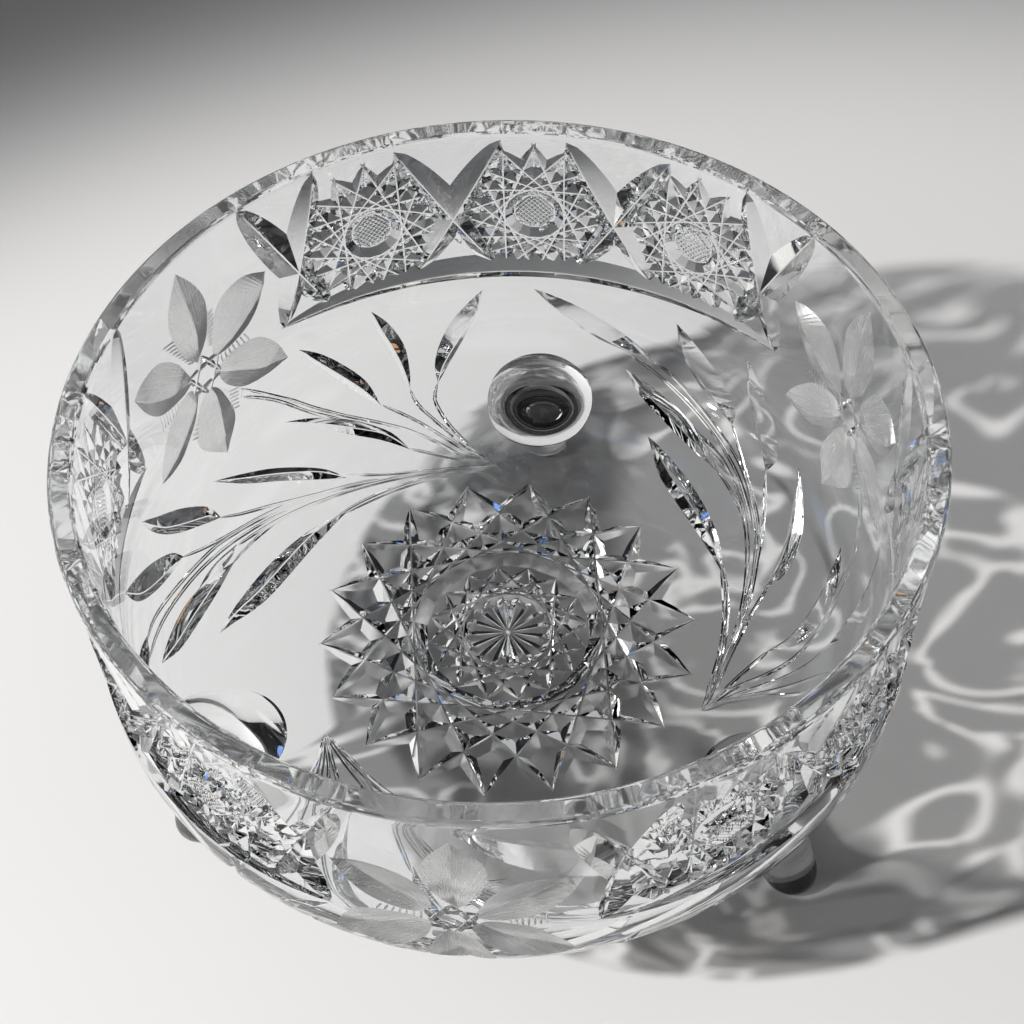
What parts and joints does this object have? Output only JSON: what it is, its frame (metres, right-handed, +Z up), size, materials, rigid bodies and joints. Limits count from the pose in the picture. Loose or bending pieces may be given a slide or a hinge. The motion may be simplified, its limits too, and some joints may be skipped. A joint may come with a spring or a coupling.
{
  "type": "punch bowl",
  "caption": "Round clear cut-glass bowl with an upright wall, a flat floor with a rounded corner, and splayed solid glass peg feet.",
  "frame": {"origin": "on the surface the bowl stands on, under the centre of the bowl", "axes": "+Z up along the bowl's axis; -Y is the side towards the viewer, and one foot is near +Y"},
  "size_m": [0.254, 0.254, 0.147],
  "materials": {
    "crystal": "polished, with deep mitre cuts and satin intaglio petals"
  },
  "bodies": {
    "root": {"bowl": "crystal", "foot_back": "crystal", "foot_left": "crystal", "foot_right": "crystal"}
  },
  "joints": []
}
